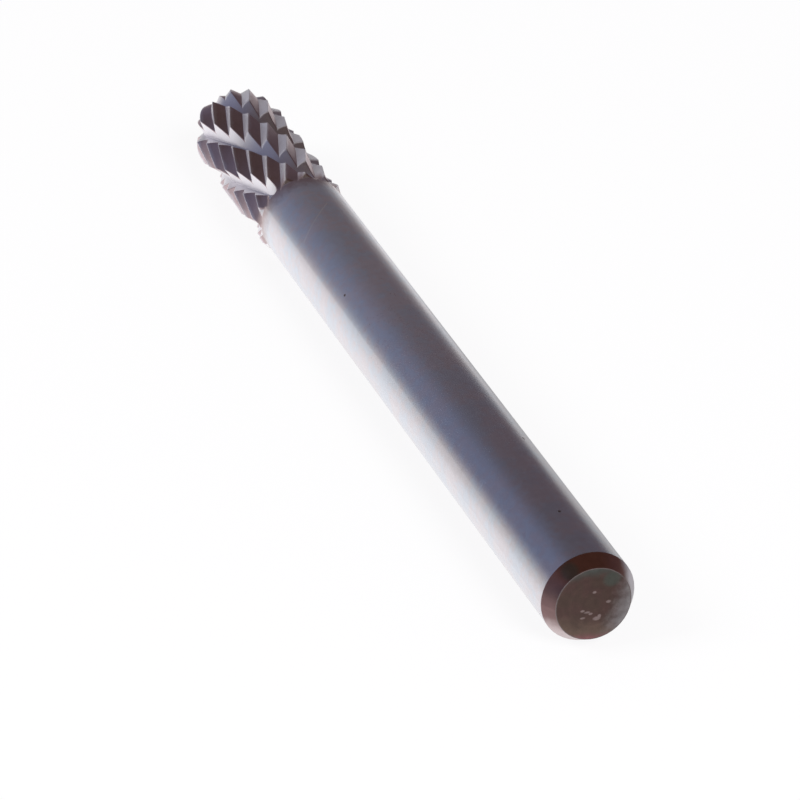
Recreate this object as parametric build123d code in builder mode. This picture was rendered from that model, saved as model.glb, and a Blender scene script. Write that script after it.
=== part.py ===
"""Solid carbide burr with a ball-nosed, cross-cut head.

One ground piece. It lies along X with the shank end at -X and the nose at +X,
resting on the crests of its teeth, which touch z = 0.
"""

import os
from math import ceil, cos, pi, radians, sin, sqrt, tan

from build123d import *

os.makedirs("parts", exist_ok=True)

# whole tool, in mm
overall_length = 38.1
shank_diameter = 3.175
head_diameter = 3.4
head_length = 9.0

# bevel round the end of the shank
bevel_drop = 0.305
bevel_length = 0.53

# outline of the head
nose_flat_diameter = 0.6
shoulder_angle = 20

# right-hand flutes: a short rise to each sharp cutting edge, then a longer fall
flute_count = 14
flute_helix_angle = 19.4
flute_depth = 0.24
flute_start_angle = 5.6
flute_rise_share = 0.38

# left-hand chip-breaker grooves: a long rise, a wide land, then a short steep fall
groove_count = 6
groove_helix_angle = 22.0
groove_depth = 0.40
groove_start_angle = 45.0
groove_rise_share = 0.32
groove_land_share = 0.57

# where the cuts sweep out of the metal towards the shank
runout_length = 1.1
shank_bite = 0.04

# how far forms stand clear of what they leave whole, and how finely they are sectioned
form_clearance = 0.12
sections_per_tooth = 3
nose_sections = 7

# values worked out from the sizes above
shank_radius = shank_diameter / 2
head_radius = head_diameter / 2
nose_flat_radius = nose_flat_diameter / 2
nose_reach = sqrt(head_radius**2 - nose_flat_radius**2)
shank_end = -overall_length / 2
nose_end = overall_length / 2
nose_centre = nose_end - nose_reach
head_base = nose_end - head_length
shoulder_height = head_radius - shank_radius
shoulder_reach = (shoulder_height + form_clearance) / sin(radians(shoulder_angle))
lying_plane = Plane.XY.offset(head_radius)
spin_axis = Axis((0, 0, head_radius), (1, 0, 0))


def outline_radius(station):
    """Radius of the head over its crests at a place along the axis."""
    past_centre = max(0, station - nose_centre)
    return sqrt(head_radius**2 - past_centre**2)


def depth_at_base(full_depth):
    """Depth of a cut at the base of the head, where it bites a little into the shank if it can."""
    return min(shoulder_height + shank_bite, full_depth * 0.8)


def cut_depth(station, full_depth):
    """Depth of a cut below the outline: it rises towards the shank and shrinks round the nose."""
    share_to_go = max(0, head_base + runout_length - station) / runout_length
    depth = full_depth - (full_depth - depth_at_base(full_depth)) * share_to_go**2
    return depth * outline_radius(station) / head_radius


def reach_behind_base(full_depth):
    """How far past the base of the head a cut still bites into the shank."""
    rise = (full_depth - shoulder_height) / (full_depth - depth_at_base(full_depth))
    return runout_length * (sqrt(max(1, rise)) - 1)


def helix_turn(station, helix_angle):
    """Angle in radians that a helix has turned through since the base of the head."""
    return tan(radians(helix_angle)) * (station - head_base) / head_radius


cut_start = head_base - max(reach_behind_base(flute_depth), reach_behind_base(groove_depth)) - form_clearance


def section_stations(first):
    """Places along the axis for the cross-sections of a form, closer together round the nose."""
    steepest = max(flute_helix_angle, groove_helix_angle)
    turn = helix_turn(nose_centre, steepest) - helix_turn(first, steepest)
    steps = ceil(max(turn / (2 * pi / flute_count) * sections_per_tooth, 4))
    side = [first + (nose_centre - first) * step / steps for step in range(steps)]
    nose = [nose_centre + nose_reach * sin(pi / 2 * step / nose_sections) for step in range(nose_sections + 1)]
    return side + nose


def ring_point(radius, angle):
    return (radius * cos(angle), radius * sin(angle))


def flute_corners(station):
    """Cross-section of the fluted form: a valley and a cutting edge for each tooth."""
    outline = outline_radius(station)
    depth = cut_depth(station, flute_depth)
    pitch = 2 * pi / flute_count
    first_valley = radians(flute_start_angle) + helix_turn(station, flute_helix_angle)
    corners = []
    for tooth in range(flute_count):
        valley = first_valley + tooth * pitch
        corners.append(ring_point(outline - depth, valley))
        corners.append(ring_point(outline, valley + pitch * flute_rise_share))
    return corners


def groove_corners(station):
    """Cross-section of the grooved form: a valley and two land corners for each groove."""
    outline = outline_radius(station)
    pitch = 2 * pi / groove_count
    reach = 1 + form_clearance / groove_depth
    land = outline * (1 + form_clearance / head_radius)
    land_start = pitch * groove_rise_share * reach
    land_end = pitch * (1 - (1 - groove_rise_share - groove_land_share) * reach)
    first_valley = radians(groove_start_angle) - helix_turn(station, groove_helix_angle)
    corners = []
    for groove in range(groove_count):
        valley = first_valley + groove * pitch
        corners.append(ring_point(outline - cut_depth(station, groove_depth), valley))
        corners.append(ring_point(land, valley + land_start))
        corners.append(ring_point(land, valley + land_end))
    return corners


with BuildPart() as burr:
    # fluted form
    for station in section_stations(cut_start):
        with BuildSketch(Plane.YZ.offset(station)):
            with Locations((0, head_radius)):
                Polygon(*flute_corners(station), align=None)
    loft()

    # keep what lies inside the grooved form as well
    for station in section_stations(cut_start - form_clearance):
        with BuildSketch(Plane.YZ.offset(station)):
            with Locations((0, head_radius)):
                Polygon(*groove_corners(station), align=None)
    loft(mode=Mode.INTERSECT)

    # turn the cuts' tails down to the shank, up to the shoulder behind the teeth
    with BuildSketch(lying_plane):
        with BuildLine():
            tail_face = Line((cut_start, 0), (cut_start, shank_radius))
            tail = Line(tail_face @ 1, (head_base, shank_radius))
            shoulder = PolarLine(tail @ 1, shoulder_reach, angle=shoulder_angle)
            clear_side = Line(shoulder @ 1, (nose_end + form_clearance, (shoulder @ 1).Y))
            clear_end = Line(clear_side @ 1, (nose_end + form_clearance, 0))
            Line(clear_end @ 1, tail_face @ 0)
        make_face()
    revolve(axis=spin_axis, mode=Mode.INTERSECT)

    # plain shank with its bevelled end
    with BuildSketch(lying_plane):
        with BuildLine():
            end_face = Line((shank_end, 0), (shank_end, shank_radius - bevel_drop))
            bevel = Line(end_face @ 1, (shank_end + bevel_length, shank_radius))
            wall = Line(bevel @ 1, (cut_start, shank_radius))
            joint = Line(wall @ 1, (cut_start, 0))
            Line(joint @ 1, end_face @ 0)
        make_face()
    revolve(axis=spin_axis)

burr.part.label = "burr"
export_step(burr.part, "parts/burr.step")
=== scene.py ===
from math import pi, radians, tan

import bpy
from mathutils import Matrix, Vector

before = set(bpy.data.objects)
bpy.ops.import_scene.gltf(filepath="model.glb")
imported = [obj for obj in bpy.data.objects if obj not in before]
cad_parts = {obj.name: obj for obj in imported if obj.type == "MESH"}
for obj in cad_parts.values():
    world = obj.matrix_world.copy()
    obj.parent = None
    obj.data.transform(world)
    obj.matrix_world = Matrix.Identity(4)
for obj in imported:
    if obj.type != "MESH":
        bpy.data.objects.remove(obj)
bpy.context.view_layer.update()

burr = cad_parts["burr"]

# sizes that the finishes follow, in mm: along from the middle of the burr, and up from the bench
SHANK_RADIUS = 1.5875
AXIS_HEIGHT = 1.7
SHANK_END = -19.05
HEAD_BASE = 10.05
NOSE_CENTRE = 17.377
HEAD_RADIUS = 1.7
MM_PER_METRE = 1000

# the right-hand flutes as they are cut, and how they run out at the base of the head
FLUTE_COUNT = 14
FLUTE_HELIX_ANGLE = 19.4
FLUTE_START_ANGLE = 5.6
FLUTE_DEPTH = 0.24
FLUTE_RISE_SHARE = 0.38
RUNOUT_LENGTH = 1.1
BASE_DEPTH = 0.1525

# soft steps along the burr, in mm, from the place where the mask is 0 to the place where it is 1
TO_END_FACE = (-19.035, -19.048)
TO_SHANK = (-18.53, -18.50)
TO_CUT_TAILS = (8.4, 8.5)
TO_HEAD = (9.98, 10.08)
ALONG_SHANK = (-17.0, 9.0)
TO_BURNT_BAND = (9.1, 10.0)

# metal and skin colours of the shank
ROSY_GREY = (0.785, 0.74, 0.77)
BLUE_GREY = (0.70, 0.745, 0.82)
PIT_BROWN = (0.20, 0.15, 0.14)
SPECK_GREY = (0.80, 0.78, 0.80)
BURNT_BROWN = (0.52, 0.40, 0.40)
SCRATCH_BRIGHT = (0.95, 0.94, 0.95)

# colours of the teeth, which paint their highlights and shade
CREST_PAINTED_HIGHLIGHT = (0.90, 0.88, 0.92)
CUT_PAINTED_SHADE = (0.78, 0.755, 0.81)
FACE_PAINTED_HIGHLIGHT = (0.92, 0.895, 0.94)
BACK_EDGE_PAINTED_HIGHLIGHT = (0.74, 0.66, 0.70)
BACK_PAINTED_SHADE = (0.58, 0.45, 0.465)
TAIL_BROWN = (0.47, 0.36, 0.36)

# colours of the bevel, with painted reflections and a painted glint
BEVEL_BROWN = (0.265, 0.165, 0.165)
BEVEL_DARK_BROWN = (0.235, 0.15, 0.145)
BEVEL_PAINTED_REFLECTION = (0.66, 0.55, 0.55)
BEVEL_RUST = (0.44, 0.225, 0.18)
BEVEL_PAINTED_GLINT = (0.20, 0.27, 0.25)
BEVEL_SIDE_PAINTED_REFLECTION = (0.88, 0.84, 0.88)

# colours of the end face
END_BROWN = (0.070, 0.036, 0.031)
END_OLIVE = (0.064, 0.037, 0.029)
END_GREEN_GREY = (0.060, 0.062, 0.056)
END_GREEN = (0.058, 0.066, 0.056)
END_TAN = (0.110, 0.070, 0.053)
END_PAINTED_LIGHT_GREY = (0.20, 0.185, 0.19)
END_RED = (0.19, 0.075, 0.082)
END_RIM_PAINTED_HIGHLIGHT = (0.15, 0.12, 0.115)
NICK_GREY = (0.215, 0.16, 0.155)

# small pits in the ground shank: (along, across, up) from the middle of the axis, then half sizes
SHANK_PITS = [
    ((-3.344, -1.305, 0.904), (0.09, 0.05, 0.05)),
    ((-10.35, -0.839, 1.348), (0.08, 0.06, 0.05)),
    ((-15.72, -0.077, 1.586), (0.075, 0.055, 0.05)),
    ((1.9, 1.2, 1.04), (0.07, 0.05, 0.05)),
    ((-7.6, -0.3, -1.56), (0.08, 0.06, 0.05)),
    ((4.4, 0.6, -1.47), (0.09, 0.05, 0.06)),
]

# bright specks in the shank, placed in the same way
SHANK_SPECKS = [
    ((-12.745, 0.015, 1.5875), (0.09, 0.07, 0.05)),
    ((-0.8, -1.1, 1.145), (0.07, 0.05, 0.05)),
    ((2.6, -0.9, -1.31), (0.08, 0.06, 0.06)),
]

# bright nicks in the end of the shank: (across, up) from the axis, then half sizes
END_NICKS = [
    ((-0.023, 0.421), (0.07, 0.05)),
    ((-0.505, 0.0), (0.09, 0.055)),
    ((0.373, -0.198), (0.08, 0.045)),
    ((0.22, -0.27), (0.11, 0.04)),
    ((0.099, -0.34), (0.075, 0.045)),
    ((-0.107, -0.547), (0.14, 0.075)),
    ((-0.20, -0.47), (0.065, 0.07)),
    ((0.369, -0.455), (0.09, 0.04)),
]

# half the depth, in mm, that a nick or patch on the end face reaches into the metal
END_MARK_DEPTH = 0.1

# scratch round the shank: its place along in mm, its middle and half its length in degrees,
# and how far along, in mm, it slopes and bends over that half
SCRATCH_PLACE = 6.93
SCRATCH_MIDDLE_ANGLE = 68.0
SCRATCH_HALF_ANGLE = 30.0
SCRATCH_SLOPE = 0.85
SCRATCH_BEND = 0.16

# bench top and lamps, in metres and watts
BENCH_SIZE = 2.4
BENCH_SEEN_SHARE = 0.86
BENCH_DIMMEST = 0.28
LAMP_SIZE = 0.16


class Wire:
    """An output of a material's nodes. Sums written with it add the Math nodes that work them out."""

    def __init__(self, tree, socket=None):
        self.tree = tree
        self.socket = socket

    def node(self, kind, settings=None, inputs=None, output=0):
        """Any other node: its settings first, then the values or wires of its sockets."""
        made = self.tree.nodes.new(kind)
        for name, value in (settings or {}).items():
            setattr(made, name, value)
        for name, value in (inputs or {}).items():
            if isinstance(value, Wire):
                self.tree.links.new(value.socket, made.inputs[name])
            else:
                made.inputs[name].default_value = value
        return Wire(self.tree, made.outputs[output]) if made.outputs else None

    def other(self, output):
        """Another output of the same node."""
        return Wire(self.tree, self.socket.node.outputs[output])

    def maths(self, operation, *values):
        return self.node("ShaderNodeMath", {"operation": operation}, dict(enumerate(values)))

    def __add__(self, other):
        return self.maths("ADD", self, other)

    def __sub__(self, other):
        return self.maths("SUBTRACT", self, other)

    def __mul__(self, other):
        return self.maths("MULTIPLY", self, other)

    def __rsub__(self, other):
        return self.maths("SUBTRACT", other, self)

    __radd__ = __add__
    __rmul__ = __mul__

    def root(self):
        return self.maths("SQRT", self)

    def size(self):
        return self.maths("ABSOLUTE", self)

    def most(self, other):
        return self.maths("MAXIMUM", self, other)

    def rise(self, low, high):
        """0 at low and 1 at high, with a soft step between them. low may be the larger."""
        ends = {"Value": self, "From Min": low, "From Max": high}
        return self.node("ShaderNodeMapRange", {"interpolation_type": "SMOOTHSTEP"}, ends)

    def blend(self, below, above):
        """One colour where this mask is 0 and another where it is 1."""
        sides = {0: self, 6: below, 7: above}
        for side, colour in ((6, below), (7, above)):
            if isinstance(colour, tuple):
                sides[side] = (*colour, 1)
        return self.node("ShaderNodeMix", {"data_type": "RGBA"}, sides, 2)

    def darken(self, colour):
        """A colour multiplied by this value, which is a shade."""
        return self.node("ShaderNodeVectorMath", {"operation": "SCALE"}, {0: colour, "Scale": self})


def noise(place, scale, detail=2.0, stretch=(1, 1, 1), shift=(0, 0, 0)):
    """Cloudy value about 0.5, finer with a larger scale."""
    if stretch != (1, 1, 1) or shift != (0, 0, 0):
        place = place.node("ShaderNodeMapping", None, {"Vector": place, "Scale": stretch, "Location": shift})
    return place.node("ShaderNodeTexNoise", None, {"Vector": place, "Scale": scale, "Detail": detail})


def spot(x, y, z, centre, half_size):
    """1 in the middle of a soft oval mark and 0 outside it."""
    reach = 0
    for place, middle, half in zip((x, y, z), centre, half_size):
        step = (place - middle) * (1 / half)
        reach = step * step + reach
    return reach.rise(1.4, 0.2)


def marks(x, y, z, places):
    """Several soft oval marks as one mask."""
    found = None
    for centre, half_size in places:
        one = spot(x, y, z, centre, half_size)
        found = one if found is None else found.most(one)
    return found


def new_wire(name):
    """An empty material and a wire to build its nodes with."""
    material = bpy.data.materials.new(name)
    material.use_nodes = True
    material.node_tree.nodes.clear()
    return material, Wire(material.node_tree)


def carbide_finish():
    """Ground carbide, with a finish of its own for the shank, the head, the bevel and the end face."""
    material, wire = new_wire("ground_carbide")
    at = wire.node("ShaderNodeTexCoord", output="Object")
    from_axis = {"Vector": at, "Location": (0, 0, -AXIS_HEIGHT), "Scale": (MM_PER_METRE,) * 3}
    at = at.node("ShaderNodeMapping", None, from_axis)
    x = at.node("ShaderNodeSeparateXYZ", None, {0: at})
    y = x.other(1)
    z = x.other(2)
    radius = (y * y + z * z).root()

    # where each surface is
    on_end = x.rise(*TO_END_FACE)
    off_bevel = x.rise(*TO_SHANK)
    on_bevel = (1 - off_bevel) * (1 - on_end)
    past_centre = (x - NOSE_CENTRE).most(0.0)
    outline = (HEAD_RADIUS**2 - past_centre * past_centre).root()
    depth = outline - radius
    cut_in_shank = (SHANK_RADIUS - radius).rise(0.002, 0.010) * x.rise(*TO_CUT_TAILS)
    on_head = x.rise(*TO_HEAD).most(cut_in_shank)
    on_shank = off_bevel * (1 - on_head)

    # where a place lies between one flute's valley and the next, and how deep the flute is there
    angle = z.maths("ARCTAN2", z, y)
    turned = (x - HEAD_BASE) * (tan(radians(FLUTE_HELIX_ANGLE)) / HEAD_RADIUS) + radians(FLUTE_START_ANGLE)
    share = (angle - turned) * (FLUTE_COUNT / (2 * pi))
    share = share.maths("FRACT", share)
    to_go = (HEAD_BASE + RUNOUT_LENGTH - x).most(0.0) * (1 / RUNOUT_LENGTH)
    flute_depth = (FLUTE_DEPTH - to_go * to_go * (FLUTE_DEPTH - BASE_DEPTH)) * outline * (1 / HEAD_RADIUS)

    # the face of a tooth rises to its edge, its back falls away behind it, and the grooves cut across both
    on_rise = 1 - share * (1 / FLUTE_RISE_SHARE)
    on_fall = (share - FLUTE_RISE_SHARE) * (1 / (1 - FLUTE_RISE_SHARE))
    in_groove = (depth - flute_depth * on_rise.most(on_fall)).rise(0.035, 0.065)
    past_edge = share.rise(FLUTE_RISE_SHARE - 0.01, FLUTE_RISE_SHARE + 0.05)
    on_back = past_edge * (1 - in_groove)
    on_face = (1 - past_edge) * (1 - in_groove)

    # what changes over the metal
    clouds = noise(at, 0.9, 3.0)
    mottle = noise(at, 4.5, 4.0, (0.7, 1, 1))
    grain = noise(at, 26.0, 3.0)
    lines = noise(at, 1.0, 5.0, (38, 0.9, 0.9))
    broad_lines = noise(at, 1.0, 2.0, (7, 0.5, 0.5), (3, 0, 0))

    # shank: fine grinding lines round it, a cloudy blue-grey skin, a few pits and bright specks
    toward_head = x.rise(*ALONG_SHANK)
    shank = (clouds + (mottle - 0.5) * 0.7).rise(0.34, 0.66).blend(ROSY_GREY, BLUE_GREY)
    # paler towards the head: a painted sheen over the random tone of the grinding
    tone_and_painted_sheen = 0.75 + mottle * 0.22 + grain * 0.10 + lines * 0.08 + broad_lines * 0.04 + toward_head * 0.10
    shank = tone_and_painted_sheen.darken(shank)
    pits = marks(x, y, z, SHANK_PITS) * on_shank
    specks = marks(x, y, z, SHANK_SPECKS) * on_shank
    shank = pits.blend(shank, PIT_BROWN)
    shank = specks.blend(shank, SPECK_GREY)
    burnt = (x + (mottle - 0.5) * 0.8).rise(*TO_BURNT_BAND)
    shank = burnt.blend(shank, BURNT_BROWN)

    # one broken scratch winds part of the way round the shank
    turn = (angle - radians(SCRATCH_MIDDLE_ANGLE)) * (1 / radians(SCRATCH_HALF_ANGLE))
    path = SCRATCH_PLACE + turn * SCRATCH_SLOPE + turn * turn * SCRATCH_BEND
    scratch = (x - path).size().rise(0.060, 0.015) * turn.size().rise(1.05, 0.85) * grain.rise(0.30, 0.50)
    shank = (scratch * 0.9).blend(shank, SCRATCH_BRIGHT)

    # head: painted highlights at the crests and on the tooth faces, painted shade deeper in the cuts, and
    # darker brown painted shade on the tooth backs
    deep = (depth + (mottle - 0.5) * 0.12).rise(0.10, 0.42)
    head = deep.blend(CREST_PAINTED_HIGHLIGHT, CUT_PAINTED_SHADE)
    head = on_face.blend(head, FACE_PAINTED_HIGHLIGHT)
    back = (on_fall + (mottle - 0.5) * 0.5).rise(0.02, 0.30).blend(BACK_EDGE_PAINTED_HIGHLIGHT, BACK_PAINTED_SHADE)
    head = on_back.blend(head, back)
    in_tails = x.rise(11.0, 10.1) * depth.rise(0.02, 0.10) * (1 - in_groove)
    head = in_tails.blend(head, TAIL_BROWN)
    # paler towards the nose and towards the base of the head
    paler_at_ends = x.rise(15.5, 18.5) + x.rise(12.5, 10.5)
    head = (0.80 + mottle * 0.2 + grain * 0.16 + paler_at_ends * 0.16).darken(head)

    # bevel: dark brown skin, rusty above, a painted reflection paler below and along one side, and a painted
    # greenish glint in one place
    bevel = clouds.rise(0.35, 0.65).blend(BEVEL_BROWN, BEVEL_DARK_BROWN)
    # paler below: a painted reflection
    painted_reflection_below = (z + (mottle - 0.5) * 0.5).rise(-0.25, -1.0)
    bevel = painted_reflection_below.blend(bevel, BEVEL_PAINTED_REFLECTION)
    rusty_above = z.rise(0.5, 1.1)
    bevel = rusty_above.blend(bevel, BEVEL_RUST)
    # greenish in one place: a painted glint
    painted_green_glint = spot(x, y, z, (-18.8, 0.72, 1.18), (0.4, 0.30, 0.30)) * 0.6
    bevel = painted_green_glint.blend(bevel, BEVEL_PAINTED_GLINT)
    # paler along one side: a painted reflection
    painted_reflection_side = (y + (mottle - 0.5) * 0.3).rise(-1.0, -1.35)
    bevel = painted_reflection_side.blend(bevel, BEVEL_SIDE_PAINTED_REFLECTION)
    bevel = (0.75 + mottle * 0.3 + grain * 0.2).darken(bevel)

    # end: olive and brown skin in rings, green-grey towards the top, tan and red below, paler grey at one
    # side as painted light, and a painted highlight round the rim
    rings = noise(at.node("ShaderNodeCombineXYZ", None, {0: radius, 1: 0.0, 2: 0.0}), 7.0, 4.0)
    patches = noise(at, 1.7, 3.0, shift=(5, 2, 0))
    end = patches.rise(0.38, 0.62).blend(END_BROWN, END_OLIVE)
    upper = (z + patches * 0.9 + (radius - 0.9) * 1.2).rise(1.35, 2.25)
    end = upper.blend(end, END_GREEN_GREY)
    green_patch = spot(y, z, x, (-0.62, 0.80, SHANK_END), (0.32, 0.28, END_MARK_DEPTH)) * 0.8
    end = green_patch.blend(end, END_GREEN)
    lower = (z + patches * 0.6 - y * 0.25).rise(-0.15, -0.75)
    end = lower.blend(end, END_TAN)
    # paler grey at one side: painted light
    painted_light_side = (0.0 - y - z * 0.35 + patches * 0.5 + (mottle - 0.5) * 0.5).rise(0.70, 1.65)
    end = painted_light_side.blend(end, END_PAINTED_LIGHT_GREY)
    lowest = (z + patches * 0.3 - y * 0.15).rise(-0.85, -1.20)
    end = lowest.blend(end, END_RED)
    # lighter round the rim: a painted highlight
    painted_rim_highlight = radius.rise(1.245, 1.275)
    end = painted_rim_highlight.blend(end, END_RIM_PAINTED_HIGHLIGHT)
    end = (0.38 + rings * 0.40 + grain * 0.26 + mottle * 0.58).darken(end)
    nick_places = [((*centre, SHANK_END), (*half, END_MARK_DEPTH)) for centre, half in END_NICKS]
    nicks = marks(y, z, x, nick_places) * on_end
    end = (nicks * (0.25 + mottle * 1.2)).blend(end, NICK_GREY)

    colour = on_head.blend(shank, head)
    colour = on_bevel.blend(colour, bevel)
    colour = on_end.blend(colour, end)

    # the end is the dullest surface, the shank the most polished
    rough = 0.23 + (mottle - 0.5) * 0.10 + (grain - 0.5) * 0.10 + toward_head * 0.10
    rough = rough + on_head * 0.02 + on_bevel * 0.12 + on_end * 0.24 + pits * 0.3
    rough = rough + on_head * on_face * 0.08 + scratch * 0.25
    metallic = 1 - on_end * 0.55 - toward_head * on_shank * 0.035 - on_head * on_face * 0.18

    # grinding lines, grain, pits, nicks and turning rings, over softened edges
    height = (lines - 0.5) * 0.8 + (grain - 0.5) * 1.0 - pits * 5.0 + nicks * 2.0
    height = height + (rings - 0.5) * on_end * 2.0
    soft_edges = wire.node("ShaderNodeBevel", {"samples": 6}, {"Radius": 0.00005})
    relief = {"Height": height, "Strength": 0.25, "Distance": 0.000004, "Normal": soft_edges}
    bump = wire.node("ShaderNodeBump", None, relief)

    metal = {
        "Base Color": colour,
        "Metallic": metallic,
        "Roughness": rough,
        "Normal": bump,
        "Coat Weight": on_shank * 0.7,
        "Coat Roughness": 0.2,
    }
    surface = wire.node("ShaderNodeBsdfPrincipled", None, metal)
    wire.node("ShaderNodeOutputMaterial", None, {"Surface": surface})
    return material


def bench_in_metal(x, y):
    """How bright the metal shows the bench, as painted shade: dimmer far off, and in a few places beside the
    burr.
    """
    away = (x * x + y * y).root()
    far_off = away.rise(0.012, 0.050) * 0.46
    far_left = y.rise(0.012, 0.030) * 0.18
    right_of_shank = y.rise(0.004, -0.008) * x.rise(0.016, 0.004) * 0.46
    # a painted shadow beside the burr on its right
    painted_shadow_close_on_right = y.rise(0.0, -0.0025) * y.rise(-0.008, -0.004) * 0.20
    far_right = y.rise(-0.008, -0.024) * (0.06 + x.rise(0.044, 0.030) * 0.36)
    left_of_shank = y.rise(0.001, 0.010) * x.rise(0.022, 0.002) * 0.34
    level = 1.0 - far_off - far_left - right_of_shank - painted_shadow_close_on_right - far_right - left_of_shank
    return level.most(BENCH_DIMMEST)


def bench_finish():
    """White bench top with a soft shadow. Away from the burr the metal shows it dimmer than it is seen, as
    painted shade.
    """
    material, wire = new_wire("white_bench")
    ray = wire.node("ShaderNodeLightPath")
    seen = (ray.other("Is Camera Ray") * BENCH_SEEN_SHARE).most(ray.other("Is Glossy Ray"))
    seen = seen.most(ray.other("Is Transmission Ray"))
    at = wire.node("ShaderNodeTexCoord", output="Object")
    x = at.node("ShaderNodeSeparateXYZ", None, {0: at})
    shown = bench_in_metal(x, x.other(1)).darken((1.0, 0.985, 1.0))
    white = ray.other("Is Glossy Ray").blend((1.0, 0.995, 1.0), shown)
    card = wire.node("ShaderNodeBsdfDiffuse", None, {"Color": (0.85, 0.85, 0.86, 1)})
    glow = wire.node("ShaderNodeEmission", None, {"Color": white, "Strength": 1.0})
    surface = wire.node("ShaderNodeMixShader", None, {0: seen, 1: card, 2: glow})
    wire.node("ShaderNodeOutputMaterial", None, {"Surface": surface})
    return material


def studio_room():
    """White where it is seen directly, and even as a light. The metal shows a dim room over a paler band."""
    world = bpy.data.worlds.new("studio_room")
    world.use_nodes = True
    world.node_tree.nodes.clear()
    wire = Wire(world.node_tree)
    toward = wire.node("ShaderNodeTexCoord", output="Generated")
    x = toward.node("ShaderNodeSeparateXYZ", None, {0: toward})
    y = x.other(1)
    z = x.other(2)
    walls = y.rise(-0.45, 0.45).blend((0.102, 0.082, 0.10), (0.163, 0.172, 0.25))
    room = z.rise(0.45, 0.75).blend(walls, (0.075, 0.05, 0.042))
    pale_band = y.rise(-0.35, 0.25).blend((0.26, 0.25, 0.265), (0.56, 0.55, 0.58))
    room = z.rise(0.20, -0.10).blend(room, pale_band)
    ray = wire.node("ShaderNodeLightPath")
    level = ray.other("Is Glossy Ray").blend((0.5, 0.5, 0.5), room)
    level = ray.other("Is Camera Ray").blend(level, (1.0, 1.0, 1.0))
    surface = wire.node("ShaderNodeBackground", None, {"Color": level, "Strength": 1.0})
    wire.node("ShaderNodeOutputWorld", None, {"Surface": surface})
    bpy.context.scene.world = world


def lamp(name, place, power):
    """Round lamp aimed at the middle of the burr. The metal doesn't mirror it."""
    light = bpy.data.lights.new(name, "AREA")
    light.shape = "DISK"
    light.size = LAMP_SIZE
    light.energy = power
    stand = bpy.data.objects.new(name, light)
    stand.visible_glossy = False
    stand.location = place
    stand.rotation_euler = Vector(place).to_track_quat("Z", "Y").to_euler()
    bpy.context.scene.collection.objects.link(stand)


def make_bench():
    bpy.ops.object.select_all(action="DESELECT")
    bpy.ops.mesh.primitive_grid_add(x_subdivisions=2, y_subdivisions=2, size=BENCH_SIZE, location=(0, 0, 0))
    bench = bpy.context.object
    bench.name = "bench_top"
    bench.data.materials.append(bench_finish())


def aim_camera():
    camera = bpy.data.cameras.new("camera")
    camera.lens = 263.0
    camera.sensor_width = 36.0
    camera.clip_start = 0.01
    tripod = bpy.data.objects.new("camera", camera)
    tripod.location = (-0.16809, 0.05850, 0.09474)
    tripod.rotation_euler = (radians(61.82), 0, radians(-109.237))
    bpy.context.scene.collection.objects.link(tripod)
    bpy.context.scene.camera = tripod


burr.data.materials[0] = carbide_finish()
make_bench()
studio_room()
lamp("lamp_behind_camera", place=(-0.28, -0.04, 0.21), power=0.85)
lamp("lamp_left", place=(0.02, 0.26, 0.22), power=0.5)
aim_camera()

bpy.context.scene.view_settings.view_transform = "Standard"
